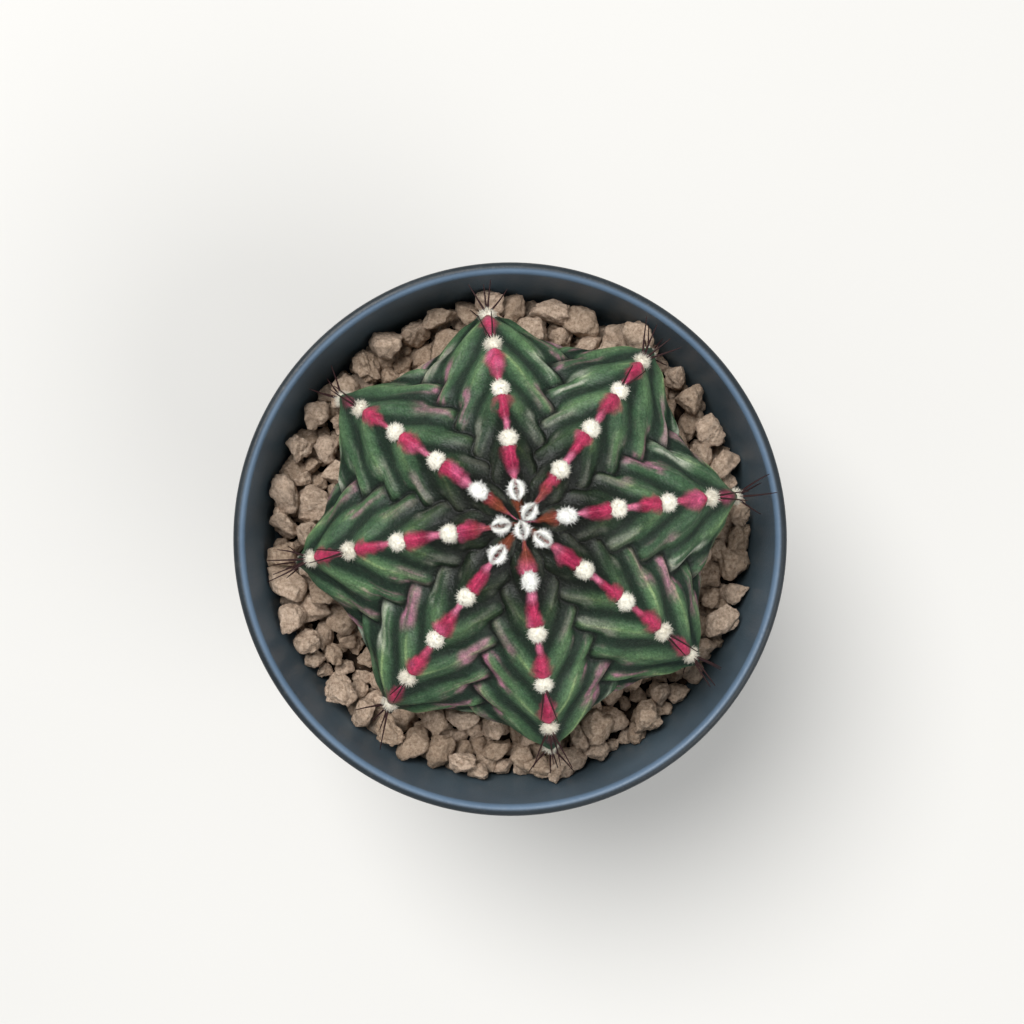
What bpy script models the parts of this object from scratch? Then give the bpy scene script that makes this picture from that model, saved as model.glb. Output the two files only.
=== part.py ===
"""Potted round cactus: a ribbed, flattened globe in a round plastic pot dressed with pumice.

Metres, +Z up. The origin is the centre of the pot's foot, on the surface that the pot stands on.
The plant is one grown solid with its tap root. Its woolly areoles follow one spiral, so that the
ribs are what the spiral's divergence angle makes of it.
"""

import math

import bmesh
import bpy
from mathutils import Matrix, Vector, noise

MM = 0.001

# Clearance between two pieces that touch
GAP = 0.3 * MM

# Pot: a tapered shell with a bead round its mouth, a stacking shoulder and a raised floor
RIM_RADIUS = 45.0 * MM
POT_HEIGHT = 76.0 * MM
LIP_WIDTH = 2.0 * MM
LIP_HEIGHT = 3.6 * MM
LIP_FILLET = 0.6 * MM
WALL = 1.3 * MM
COLLAR_HEIGHT = 16.0 * MM
COLLAR_DRAFT = 2.2 * MM
SHOULDER_STEP = 0.8 * MM
SHOULDER_HEIGHT = 1.8 * MM
FOOT_RADIUS = 32.5 * MM
FOOT_HEIGHT = 2.0 * MM
FOOT_WIDTH = 2.6 * MM
FLOOR = 1.5 * MM
CENTRE_HOLE_RADIUS = 4.0 * MM
OUTER_HOLE_RADIUS = 3.2 * MM
OUTER_HOLE_COUNT = 6
OUTER_HOLE_INSET = 8.0 * MM
POT_SEGMENTS = 64
LIP_ARC_STEPS = 8

# Fill: potting mix under a dressing of pumice
DRESSING_DROP = 12.0 * MM
DRESSING_DEPTH = 9.0 * MM
FILL_SEGMENTS = 40

# Plant: the crest line is an ellipse above the widest level and another below it
RIB_COUNT = 8
FIRST_RIB_AZIMUTH = math.radians(98.5)
ROOM_AT_RIM = 7.6 * MM
PLANT_OFFSET = Vector((1.2 * MM, 1.1 * MM, 0))
PLANT_LEAN = Vector((0.5 * MM, 1.8 * MM, 0))
WIDEST_ABOVE_DRESSING = 12.5 * MM
CROWN_HEIGHT = 19.5 * MM
UNDERSIDE_HEIGHT = 16.0 * MM
CROWN_DIP = 1.2 * MM
CROWN_DIP_RADIUS = 5.0 * MM
RIB_DEPTH = 6.2 * MM
RIB_SHARPNESS = 2.3
FURROW_CREASE = 0.2
RIB_ONSET = 0.8
UNDERSIDE_END = math.radians(75.0)
ROOT_LENGTH = 22.0 * MM
ROOT_TAPER = 0.75
SEGMENTS_PER_RIB = 10
CROWN_RINGS = 13
UNDERSIDE_RINGS = 8
ROOT_RINGS = 5

# Areoles: woolly cushions that rise up the spiral, each at the same angle from the last
AREOLE_COUNT = 40
AREOLE_TURN = 3
FIRST_AREOLE_RIB = 5
FIRST_AREOLE_ARC = 1.1 * MM
AREOLE_STEP = 0.95 * MM
AREOLE_STEP_GROWTH = 0.0025 * MM
AREOLE_LENGTH = 3.2 * MM
AREOLE_WIDTH = 2.8 * MM
AREOLE_HEIGHT = 1.5 * MM
YOUNGEST_AREOLE_SHARE = 0.6
AREOLES_TO_FULL_SIZE = 9
AREOLE_SEGMENTS = 8
AREOLE_RINGS = 6

# Larger stones lying on the dressing against the pot: azimuth in degrees, then length,
# width and height, and the turn of the length from the tangent in degrees
STONES = (
    (6.0, 4.6 * MM, 4.2 * MM, 3.8 * MM, 20.0),
    (28.5, 6.0 * MM, 5.2 * MM, 4.4 * MM, -25.0),
    (54.0, 4.8 * MM, 4.2 * MM, 3.8 * MM, 30.0),
    (79.0, 8.8 * MM, 4.4 * MM, 4.2 * MM, 4.0),
    (108.0, 7.0 * MM, 4.2 * MM, 4.0 * MM, -8.0),
    (130.0, 6.6 * MM, 5.2 * MM, 4.4 * MM, 70.0),
    (157.0, 5.4 * MM, 4.8 * MM, 4.2 * MM, 15.0),
    (184.0, 5.4 * MM, 5.0 * MM, 4.2 * MM, -20.0),
    (207.0, 5.2 * MM, 4.8 * MM, 4.2 * MM, 60.0),
    (222.0, 6.4 * MM, 5.6 * MM, 4.6 * MM, 30.0),
    (238.0, 6.2 * MM, 5.2 * MM, 4.4 * MM, -12.0),
    (258.0, 5.0 * MM, 4.6 * MM, 4.2 * MM, 40.0),
    (277.0, 5.8 * MM, 4.2 * MM, 4.0 * MM, -5.0),
    (307.0, 7.2 * MM, 5.8 * MM, 4.6 * MM, 15.0),
    (338.0, 7.2 * MM, 5.4 * MM, 4.6 * MM, -10.0),
)
STONE_LUMPS = 0.22
STONE_LUMP_SCALE = 1.4

# Heights that follow from the sizes above
DRESSING_TOP = POT_HEIGHT - DRESSING_DROP
DRESSING_BOTTOM = DRESSING_TOP - DRESSING_DEPTH
FLOOR_TOP = FOOT_HEIGHT + FLOOR
WIDEST_LEVEL = DRESSING_TOP + WIDEST_ABOVE_DRESSING
PLANT_RADIUS = RIM_RADIUS - LIP_WIDTH - ROOM_AT_RIM
LOWER_RINGS = UNDERSIDE_RINGS + ROOT_RINGS

# The pot's inner wall, from mouth to floor, as (height, radius)
INNER_WALL = (
    (POT_HEIGHT, RIM_RADIUS - LIP_WIDTH),
    (POT_HEIGHT - COLLAR_HEIGHT, RIM_RADIUS - LIP_WIDTH - COLLAR_DRAFT),
    (
        POT_HEIGHT - COLLAR_HEIGHT - SHOULDER_HEIGHT,
        RIM_RADIUS - LIP_WIDTH - COLLAR_DRAFT - SHOULDER_STEP,
    ),
    (FLOOR_TOP, FOOT_RADIUS - WALL),
)


def clear_scene():
    for obj in list(bpy.data.objects):
        bpy.data.objects.remove(obj, do_unlink=True)


def new_collection(name):
    collection = bpy.data.collections.new(name)
    bpy.context.scene.collection.children.link(collection)
    return collection


def make_material(name, colour, roughness, metallic=0.0):
    material = bpy.data.materials.new(name)
    material.use_nodes = True
    shader = material.node_tree.nodes["Principled BSDF"]
    shader.inputs["Base Color"].default_value = (*colour, 1.0)
    shader.inputs["Roughness"].default_value = roughness
    shader.inputs["Metallic"].default_value = metallic
    return material


def add_object(name, mesh, collection, material=None):
    obj = bpy.data.objects.new(name, mesh)
    collection.objects.link(obj)
    if material:
        mesh.materials.append(material)
    return obj


def turned_solid(name, profile, segments, collection, material=None, ring=False):
    """A profile of (radius, height) points, outer side running down, turned round Z.

    A ring's profile is a closed loop. Any other starts and ends on the axis."""
    count = len(profile)
    points = [(radius, 0.0, height) for radius, height in profile]
    edges = [(i, (i + 1) % count) for i in range(count if ring else count - 1)]
    mesh = bpy.data.meshes.new(name)
    mesh.from_pydata(points, edges, [])
    obj = add_object(name, mesh, collection, material)
    screw = obj.modifiers.new("Turn", "SCREW")
    screw.axis = "Z"
    screw.angle = 2 * math.pi
    screw.steps = segments
    screw.render_steps = segments
    screw.use_smooth_shade = True
    screw.use_merge_vertices = True
    screw.merge_threshold = 0.00001
    return obj


def cut(obj, cutter):
    boolean = obj.modifiers.new("Cut " + cutter.name, "BOOLEAN")
    boolean.operation = "DIFFERENCE"
    boolean.solver = "EXACT"
    boolean.object = cutter


def mark_as_cutter(obj):
    obj.hide_render = True
    obj.display_type = "WIRE"
    return obj


def arc(centre, radius, start, end, steps):
    """Points of an arc between two angles in degrees, as (radius, height) pairs."""
    angles = [math.radians(start + (end - start) * i / steps) for i in range(steps + 1)]
    return [(centre[0] + radius * math.cos(a), centre[1] + radius * math.sin(a)) for a in angles]


def inner_radius(height):
    """The radius of the pot's inner wall at a height."""
    for (high, upper), (low, lower) in zip(INNER_WALL, INNER_WALL[1:]):
        if height >= low:
            return lower + (upper - lower) * (height - low) / (high - low)
    return INNER_WALL[-1][1]


def wall_fit(high, low):
    """The outer side of something that fills the pot between two heights, running down."""
    breaks = [height for height, _ in INNER_WALL if low < height < high]
    return [(inner_radius(height) - GAP, height) for height in (high, *breaks, low)]


def make_pot(collection, cutters, material):
    lip_bottom = POT_HEIGHT - LIP_HEIGHT
    bead = arc(
        (RIM_RADIUS - LIP_WIDTH / 2, POT_HEIGHT - LIP_WIDTH / 2),
        LIP_WIDTH / 2, 180, 0, LIP_ARC_STEPS,
    )
    bead += arc((RIM_RADIUS - LIP_FILLET, lip_bottom + LIP_FILLET), LIP_FILLET, 0, -90, 3)
    outer_wall = [(inner_radius(lip_bottom) + WALL, lip_bottom)]
    outer_wall += [(radius + WALL, height) for height, radius in INNER_WALL[1:]]
    foot = [
        (FOOT_RADIUS, 0.0),
        (FOOT_RADIUS - FOOT_WIDTH, 0.0),
        (FOOT_RADIUS - FOOT_WIDTH, FOOT_HEIGHT),
    ]
    floor = [(CENTRE_HOLE_RADIUS, FOOT_HEIGHT), (CENTRE_HOLE_RADIUS, FLOOR_TOP)]
    inner_wall = [(radius, height) for height, radius in reversed(INNER_WALL[1:])]
    profile = bead + outer_wall + foot + floor + inner_wall
    pot = turned_solid("pot", profile, POT_SEGMENTS, collection, material, ring=True)

    holes = bmesh.new()
    circle = FOOT_RADIUS - OUTER_HOLE_INSET
    for i in range(OUTER_HOLE_COUNT):
        turn = Matrix.Rotation(2 * math.pi * i / OUTER_HOLE_COUNT, 4, "Z")
        place = Matrix.Translation((circle, 0, FOOT_HEIGHT + FLOOR / 2))
        bmesh.ops.create_cone(
            holes, cap_ends=True, segments=16, depth=3 * FLOOR,
            radius1=OUTER_HOLE_RADIUS, radius2=OUTER_HOLE_RADIUS, matrix=turn @ place,
        )
    mesh = bpy.data.meshes.new("drain_holes")
    holes.to_mesh(mesh)
    holes.free()
    cut(pot, mark_as_cutter(add_object("drain_holes", mesh, cutters)))
    return pot


def crest_point(ring):
    """Radius, height and outward normal of the crest line, all in the plant's own frame.

    Ring 0 is the crown. The widest level comes after the crown's rings, then the underside's
    rings and the root's. Height is measured from the widest level."""
    if ring <= CROWN_RINGS:
        angle = math.pi / 2 * ring / CROWN_RINGS
        radius = PLANT_RADIUS * math.sin(angle)
        height = CROWN_HEIGHT * math.cos(angle)
        height -= CROWN_DIP * math.exp(-((radius / CROWN_DIP_RADIUS) ** 2))
        normal = (math.sin(angle) / PLANT_RADIUS, math.cos(angle) / CROWN_HEIGHT)
    else:
        below = ring - CROWN_RINGS
        angle = UNDERSIDE_END * min(below / UNDERSIDE_RINGS, 1.0)
        radius = PLANT_RADIUS * math.cos(angle)
        height = -UNDERSIDE_HEIGHT * math.sin(angle)
        normal = (math.cos(angle) / PLANT_RADIUS, -math.sin(angle) / UNDERSIDE_HEIGHT)
        if below > UNDERSIDE_RINGS:
            down = min((below - UNDERSIDE_RINGS) / ROOT_RINGS, 1.0)
            radius *= (1 - down) ** ROOT_TAPER
            height -= ROOT_LENGTH * down
    size = math.hypot(*normal)
    return radius, height, (normal[0] / size, normal[1] / size)


def smooth_step(x):
    x = min(max(x, 0.0), 1.0)
    return x * x * (3 - 2 * x)


def furrow_depth(ring):
    """How far a furrow's bottom lies under the crest line."""
    if ring <= CROWN_RINGS:
        return RIB_DEPTH * math.sin(math.pi / 2 * ring / CROWN_RINGS) ** RIB_ONSET
    return RIB_DEPTH * (1 - smooth_step((ring - CROWN_RINGS) / UNDERSIDE_RINGS))


def leaning(point):
    """A point of the upright plant moved sideways, more the higher it is above the dressing."""
    rise = max(point.z + WIDEST_ABOVE_DRESSING, 0.0) / (CROWN_HEIGHT + WIDEST_ABOVE_DRESSING)
    return point + PLANT_LEAN * rise ** 1.5


def plant_point(azimuth, ring):
    """A point of the skin. Azimuth is measured from the first rib's crest."""
    radius, height, normal = crest_point(ring)
    rib_angle = 2 * math.pi / RIB_COUNT
    from_crest = abs((azimuth + rib_angle / 2) % rib_angle - rib_angle / 2) / (rib_angle / 2)
    flank = 1 - (1 - from_crest) ** RIB_SHARPNESS
    flank += (from_crest ** 4 - flank) * FURROW_CREASE
    depth = furrow_depth(ring) * flank
    radius = max(radius - depth * normal[0], 0.0)
    height -= depth * normal[1]
    turn = azimuth + FIRST_RIB_AZIMUTH
    return leaning(Vector((radius * math.cos(turn), radius * math.sin(turn), height)))


def make_plant(collection, material):
    """The stem and its tap root: a sphere's grid laid over the ribbed form."""
    rings = CROWN_RINGS + LOWER_RINGS
    shape = bmesh.new()
    bmesh.ops.create_uvsphere(
        shape, u_segments=RIB_COUNT * SEGMENTS_PER_RIB, v_segments=rings, radius=1.0
    )
    for vertex in shape.verts:
        azimuth = math.atan2(vertex.co.y, vertex.co.x)
        ring = round(rings * math.acos(max(-1.0, min(1.0, vertex.co.z))) / math.pi)
        vertex.co = plant_point(azimuth, ring)
    mesh = bpy.data.meshes.new("cactus_stem")
    shape.to_mesh(mesh)
    shape.free()
    mesh.shade_smooth()
    plant = add_object("cactus_stem", mesh, collection, material)
    plant.location = PLANT_OFFSET + Vector((0, 0, WIDEST_LEVEL))
    return plant


def make_plant_clearance(cutters):
    """The hole that the plant stands in: its crest line from the widest level down, a gap clear."""
    side = [crest_point(CROWN_RINGS + i)[:2] for i in range(LOWER_RINGS + 1)]
    side = [(radius + GAP, height - GAP) for radius, height in side]
    profile = [(0.0, CROWN_HEIGHT), (side[0][0], CROWN_HEIGHT), *side, (0.0, side[-1][1])]
    clearance = turned_solid("plant_clearance", profile, FILL_SEGMENTS, cutters)
    clearance.location = PLANT_OFFSET + Vector((0, 0, WIDEST_LEVEL))
    return mark_as_cutter(clearance)


def make_fill(name, high, low, clearance, collection, material):
    profile = [(0.0, high), *wall_fit(high, low), (0.0, low)]
    fill = turned_solid(name, profile, FILL_SEGMENTS, collection, material)
    cut(fill, clearance)
    return fill


def ring_at_arc(length):
    """Where the crest line has this arc length from the crown, as a fractional ring."""
    steps = 400
    last = CROWN_RINGS + UNDERSIDE_RINGS
    walked = 0.0
    before = crest_point(0.0)
    for i in range(1, steps + 1):
        here = crest_point(last * i / steps)
        stride = math.hypot(here[0] - before[0], here[1] - before[1])
        if walked + stride >= length:
            return last * (i - 1 + (length - walked) / stride) / steps
        walked += stride
        before = here
    return last


def make_areoles(plant, collection, material):
    """One flattened cushion for each areole, standing a gap clear of the crest."""
    placed_on_rib = [0] * RIB_COUNT
    for k in range(AREOLE_COUNT):
        rib = (FIRST_AREOLE_RIB - 1 - AREOLE_TURN * k) % RIB_COUNT
        placed_on_rib[rib] += 1
        arc_length = FIRST_AREOLE_ARC + AREOLE_STEP * k + AREOLE_STEP_GROWTH * k * k
        radius, height, normal = crest_point(ring_at_arc(arc_length))
        turn = FIRST_RIB_AZIMUTH - 2 * math.pi * rib / RIB_COUNT
        outward = Vector((math.cos(turn), math.sin(turn), 0))
        up = (outward * normal[0] + Vector((0, 0, normal[1]))).normalized()
        across = Vector((0, 0, 1)).cross(outward)
        along = up.cross(across)

        grown = min(k / AREOLES_TO_FULL_SIZE, 1.0)
        share = YOUNGEST_AREOLE_SHARE + (1 - YOUNGEST_AREOLE_SHARE) * grown
        size = Vector((AREOLE_LENGTH, AREOLE_WIDTH, AREOLE_HEIGHT)) * share
        shape = bmesh.new()
        bmesh.ops.create_uvsphere(
            shape, u_segments=AREOLE_SEGMENTS, v_segments=AREOLE_RINGS, radius=0.5
        )
        bmesh.ops.scale(shape, vec=size, verts=shape.verts)
        name = f"areole_rib{rib + 1}_{placed_on_rib[rib]}"
        mesh = bpy.data.meshes.new(name)
        shape.to_mesh(mesh)
        shape.free()
        mesh.shade_smooth()
        areole = add_object(name, mesh, collection, material)
        areole.parent = plant
        seat = leaning(outward * radius + Vector((0, 0, height)))
        axes = Matrix((along, across, up)).transposed().to_4x4()
        areole.matrix_basis = Matrix.Translation(seat + up * (GAP + size.z / 2)) @ axes


def make_stones(collection, material):
    """Rounded lumps of pumice that rest on the dressing and touch the pot's wall."""
    for i, (azimuth, length, width, height, turn) in enumerate(STONES):
        shape = bmesh.new()
        bmesh.ops.create_icosphere(shape, subdivisions=2, radius=0.5)
        for vertex in shape.verts:
            lump = noise.noise(vertex.co * 2 * STONE_LUMP_SCALE + Vector((i * 7.3, 0, 0)))
            vertex.co *= 1 - STONE_LUMPS * (0.5 + 0.5 * lump)
        bmesh.ops.scale(shape, vec=(length, width, height), verts=shape.verts)
        name = f"pumice_stone_{i + 1:02d}"
        mesh = bpy.data.meshes.new(name)
        shape.to_mesh(mesh)
        shape.free()
        stone = add_object(name, mesh, collection, material)
        middle = DRESSING_TOP + GAP + height / 2
        slant = math.radians(turn)
        reach = math.hypot(length / 2 * math.sin(slant), width / 2 * math.cos(slant))
        radius = inner_radius(middle - height / 2) - GAP - reach
        bearing = math.radians(azimuth)
        stone.location = (radius * math.cos(bearing), radius * math.sin(bearing), middle)
        stone.rotation_euler = (0, 0, bearing + math.pi / 2 + slant)


def main():
    clear_scene()
    parts = new_collection("potted_round_cactus")
    cutters = new_collection("cutters")
    pot_plastic = make_material("pot_plastic", (0.028, 0.034, 0.040), 0.42)
    soil = make_material("potting_mix", (0.055, 0.038, 0.026), 0.95)
    pumice = make_material("pumice", (0.36, 0.25, 0.17), 0.9)
    skin = make_material("cactus_skin", (0.055, 0.12, 0.055), 0.5)
    wool = make_material("areole_wool", (0.82, 0.79, 0.70), 0.95)

    make_pot(parts, cutters, pot_plastic)
    clearance = make_plant_clearance(cutters)
    make_fill("potting_mix", DRESSING_BOTTOM - GAP, FLOOR_TOP + GAP, clearance, parts, soil)
    make_fill("pumice_dressing", DRESSING_TOP, DRESSING_BOTTOM, clearance, parts, pumice)
    plant = make_plant(parts, skin)
    make_areoles(plant, parts, wool)
    make_stones(parts, pumice)


main()
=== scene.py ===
"""The looks of the potted round cactus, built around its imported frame.

Every length is in metres. The plant's form repeats the part's crest and furrow formulas, at a
finer grain, so that the skin, the wool and the spines lie where the frame's own pieces do.
"""

import itertools
import math

import bmesh
import bpy
import numpy as np
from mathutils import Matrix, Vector


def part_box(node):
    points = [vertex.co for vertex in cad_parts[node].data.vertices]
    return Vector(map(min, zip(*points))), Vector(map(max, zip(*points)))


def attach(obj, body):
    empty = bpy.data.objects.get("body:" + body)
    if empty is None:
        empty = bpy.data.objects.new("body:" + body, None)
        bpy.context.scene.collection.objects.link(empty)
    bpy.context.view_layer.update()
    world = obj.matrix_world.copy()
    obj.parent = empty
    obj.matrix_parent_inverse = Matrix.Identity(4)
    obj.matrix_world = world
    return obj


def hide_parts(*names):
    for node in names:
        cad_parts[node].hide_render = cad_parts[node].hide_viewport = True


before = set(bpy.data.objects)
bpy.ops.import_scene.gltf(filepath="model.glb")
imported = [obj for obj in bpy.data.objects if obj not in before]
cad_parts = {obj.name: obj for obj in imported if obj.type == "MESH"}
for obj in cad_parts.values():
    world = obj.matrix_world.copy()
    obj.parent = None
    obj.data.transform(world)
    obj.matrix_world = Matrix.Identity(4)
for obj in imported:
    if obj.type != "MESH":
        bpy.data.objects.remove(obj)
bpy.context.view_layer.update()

MM = 0.001
TURN = 2 * math.pi

# The pot, as the part has it
RIM_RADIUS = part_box("pot")[1].x
POT_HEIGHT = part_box("pot")[1].z
LIP_WIDTH = 2.0 * MM
LIP_HEIGHT = 3.6 * MM
LIP_FILLET = 0.6 * MM
WALL = 1.3 * MM
COLLAR_HEIGHT = 16.0 * MM
COLLAR_DRAFT = 2.2 * MM
SHOULDER_STEP = 0.8 * MM
SHOULDER_HEIGHT = 1.8 * MM
FOOT_RADIUS = 32.5 * MM
FOOT_HEIGHT = 2.0 * MM
FOOT_WIDTH = 2.6 * MM
FLOOR_TOP = 3.5 * MM
CENTRE_HOLE_RADIUS = 4.0 * MM
OUTER_HOLE_RADIUS = 3.2 * MM
OUTER_HOLE_COUNT = 6
OUTER_HOLE_CIRCLE = 24.5 * MM
HOLE_MIDDLE = 2.75 * MM
HOLE_CUTTER_LENGTH = 4.5 * MM
HOLE_SEGMENTS = 48
POT_SEGMENTS = 256
DRESSING_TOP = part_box("pumice_dressing")[1].z

# The plant, as the part has it
RIB_COUNT = 8
FIRST_RIB_AZIMUTH = math.radians(98.5)
PLANT_RADIUS = 35.4 * MM
WIDEST_ABOVE_DRESSING = 12.5 * MM
PLANT_PLACE = np.array((1.2 * MM, 1.1 * MM, DRESSING_TOP + WIDEST_ABOVE_DRESSING))
PLANT_LEAN = np.array((0.5 * MM, 1.8 * MM, 0.0))
CROWN_HEIGHT = 19.5 * MM
UNDERSIDE_HEIGHT = 16.0 * MM
CROWN_DIP = 1.2 * MM
CROWN_DIP_RADIUS = 5.0 * MM
RIB_DEPTH = 6.2 * MM
RIB_SHARPNESS = 2.3
RIB_ONSET = 0.8
FURROW_CREASE = 0.2
UNDERSIDE_END = math.radians(75.0)
CROWN_RINGS = 13
UNDERSIDE_RINGS = 8
FIRST_AREOLE_RIB = 5
AREOLE_TURN = 3
AREOLE_COUNT = 40
FIRST_AREOLE_ARC = 1.1 * MM
AREOLE_STEP = 0.95 * MM
AREOLE_STEP_GROWTH = 0.0025 * MM

# Areoles are numbered outward along their spiral, so a number is also a stage of growth
FIRST_SINGLE = 6
FIRST_GROWN = 9
FIRST_SPINY = 24
FIRST_OLD = 26
FIRST_FULL_SPINES = 32
TUFT_COUNT = 48
HAIR_SPREAD = 96  # degrees that the outermost hairs lean from upright

# Finer form of the skin
SKIN_AROUND = 720
SKIN_RINGS = 250
CREST_ROUNDING = 0.05
RIDGE_HEIGHT = 0.95 * MM
RIDGE_SLANT = 0.37
RIDGE_CURVE = 0.8
FURROW_ZIGZAG = 0.085
CHIN_HEIGHT = 0.75 * MM
NOTCH_DEPTH = 0.5 * MM

# The camera looks straight down, as the photographer did
CAMERA_ABOVE_RIM = 228 * MM
CAMERA_X = 0.31 * MM
CAMERA_Y = 4.41 * MM
FIELD_OF_VIEW = math.radians(39.96)


def srgb(red, green, blue):
    """A screen colour from 0 to 255 as the linear colour that a shader takes."""
    parts = [c / 255 for c in (red, green, blue)]
    return tuple(p / 12.92 if p <= 0.04045 else ((p + 0.055) / 1.055) ** 2.4 for p in parts)


def smooth(low, high, x):
    """0 below low, 1 above high, and an even rise between them."""
    share = np.clip((x - low) / (high - low), 0.0, 1.0)
    return share * share * (3 - 2 * share)


# Large odd numbers that turn a cell's place into an even scatter of values
SCATTER_X, SCATTER_Y, SCATTER_Z = 374761393, 668265263, 1442695041
SCATTER_SEED, SCATTER_AGAIN = 974711, 1274126177


def noise(points, seed=0):
    """Smooth noise from -1 to 1 at each row of points."""
    points = np.asarray(points, float)
    cell = np.floor(points).astype(np.int64)
    part = points - cell
    part = part * part * (3 - 2 * part)
    total = np.zeros(points.shape[:-1])
    for corner in itertools.product((0, 1), repeat=3):
        weight = np.prod(np.where(np.array(corner) == 1, part, 1 - part), axis=-1)
        x, y, z = np.moveaxis(cell + np.array(corner), -1, 0)
        mixed = x * SCATTER_X + y * SCATTER_Y + z * SCATTER_Z + seed * SCATTER_SEED
        mixed &= 0xFFFFFFFF
        mixed = ((mixed ^ (mixed >> 13)) * SCATTER_AGAIN) & 0xFFFFFFFF
        mixed ^= mixed >> 16
        total += weight * ((mixed & 0xFFFF) / 32767.5 - 1)
    return total


def rough_noise(points, seed=0, octaves=3):
    """Noise with finer and fainter noise laid over it."""
    points = np.asarray(points, float)
    total = 0.0
    for octave in range(octaves):
        total = total + noise(points * 2 ** octave + 17.3 * octave, seed + octave) / 2 ** octave
    return total


def mesh_object(name, vertices, faces, material, smooth_shade=True):
    mesh = bpy.data.meshes.new(name)
    mesh.from_pydata(np.asarray(vertices, float).tolist(), [], faces)
    if smooth_shade:
        mesh.shade_smooth()
    mesh.materials.append(material)
    obj = bpy.data.objects.new(name, mesh)
    bpy.context.scene.collection.objects.link(obj)
    return obj


def add_attribute(obj, name, values):
    """A number at each vertex, or a colour if each value has three parts."""
    values = np.asarray(values, np.float32)
    if values.ndim == 1:
        layer = obj.data.attributes.new(name, "FLOAT", "POINT")
        layer.data.foreach_set("value", values)
    else:
        layer = obj.data.attributes.new(name, "FLOAT_COLOR", "POINT")
        rgba = np.hstack((values, np.ones((len(values), 1), np.float32)))
        layer.data.foreach_set("color", rgba.ravel())


# ---------------------------------------------------------------- materials


class Nodes:
    """Short calls for wiring one material's nodes."""

    def __init__(self, name, roughness, specular=0.5):
        self.material = bpy.data.materials.new(name)
        self.material.use_nodes = True
        self.tree = self.material.node_tree
        self.shader = self.tree.nodes["Principled BSDF"]
        self.shader.inputs["Roughness"].default_value = roughness
        self.shader.inputs["Specular IOR Level"].default_value = specular
        self.place = self.tree.nodes.new("ShaderNodeTexCoord").outputs["Object"]

    def new(self, kind, **values):
        node = self.tree.nodes.new(kind)
        for key, value in values.items():
            setattr(node, key, value)
        return node

    def link(self, output, node, socket):
        self.tree.links.new(output, node.inputs[socket])

    def noise(self, scale, detail=3.0, roughness=0.55, stretch=None):
        node = self.new("ShaderNodeTexNoise")
        node.inputs["Scale"].default_value = scale
        node.inputs["Detail"].default_value = detail
        node.inputs["Roughness"].default_value = roughness
        place = self.place
        if stretch:
            mapping = self.new("ShaderNodeMapping")
            mapping.inputs["Scale"].default_value = stretch
            self.link(self.place, mapping, "Vector")
            place = mapping.outputs["Vector"]
        self.link(place, node, "Vector")
        return node.outputs["Fac"]

    def cells(self, scale):
        node = self.new("ShaderNodeTexVoronoi", feature="F1")
        node.inputs["Scale"].default_value = scale
        self.link(self.place, node, "Vector")
        return node.outputs["Distance"]

    def ramp(self, factor, *stops):
        """Stops are (position, colour)."""
        node = self.new("ShaderNodeValToRGB")
        while len(node.color_ramp.elements) < len(stops):
            node.color_ramp.elements.new(0.5)
        for element, (position, colour) in zip(node.color_ramp.elements, stops):
            element.position = position
            element.color = (*colour, 1.0)
        self.link(factor, node, "Fac")
        return node.outputs["Color"]

    def attribute(self, name, colour=False):
        node = self.new("ShaderNodeAttribute", attribute_name=name)
        return node.outputs["Color" if colour else "Fac"]

    def mix(self, first, second, factor, blend="MIX"):
        node = self.new("ShaderNodeMix", data_type="RGBA", blend_type=blend)
        for socket, value in ((node.inputs[6], first), (node.inputs[7], second)):
            if isinstance(value, tuple):
                socket.default_value = (*value, 1.0)
            else:
                self.tree.links.new(value, socket)
        if isinstance(factor, (int, float)):
            node.inputs[0].default_value = factor
        else:
            self.tree.links.new(factor, node.inputs[0])
        return node.outputs[2]

    def remap(self, value, low, high, to_low, to_high):
        node = self.new("ShaderNodeMapRange")
        node.inputs["From Min"].default_value = low
        node.inputs["From Max"].default_value = high
        node.inputs["To Min"].default_value = to_low
        node.inputs["To Max"].default_value = to_high
        self.link(value, node, "Value")
        return node.outputs["Result"]

    def bump(self, height, distance, under=None):
        node = self.new("ShaderNodeBump")
        node.inputs["Distance"].default_value = distance
        node.inputs["Strength"].default_value = 1.0
        self.link(height, node, "Height")
        if under:
            self.link(under, node, "Normal")
        return node.outputs["Normal"]

    def finish(self, colour, normal=None, roughness=None):
        self.link(colour, self.shader, "Base Color")
        if normal:
            self.link(normal, self.shader, "Normal")
        if roughness:
            self.link(roughness, self.shader, "Roughness")
        return self.material


def pot_material():
    n = Nodes("charcoal_plastic", 0.42, 0.3)
    cloud = n.noise(90, 4)
    # One plastic in three painted tones: the lip colour is a painted highlight, the sky's bluish
    # reflection along the bead's top; the outside is darkened with painted shade, and the inside is
    # a lighter, lit copy.
    outside = n.ramp(cloud, (0.3, srgb(27, 33, 37)), (0.75, srgb(37, 44, 49)))
    inside = n.ramp(cloud, (0.3, srgb(64, 76, 81)), (0.75, srgb(80, 94, 101)))
    lip = n.ramp(cloud, (0.3, srgb(84, 103, 123)), (0.75, srgb(95, 115, 136)))
    colour = n.mix(n.mix(outside, inside, n.attribute("inside")), lip, n.attribute("lip"))
    dust = n.remap(n.noise(420, 5, 0.7), 0.58, 0.75, 0.0, 0.16)
    colour = n.mix(colour, srgb(112, 112, 108), dust)
    fine = n.bump(n.noise(2600, 2), 0.00004)
    scuff = n.bump(n.noise(700, 3, stretch=(1, 1, 0.15)), 0.00006, under=fine)
    return n.finish(colour, scuff, n.remap(cloud, 0.3, 0.7, 0.36, 0.5))


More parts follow.
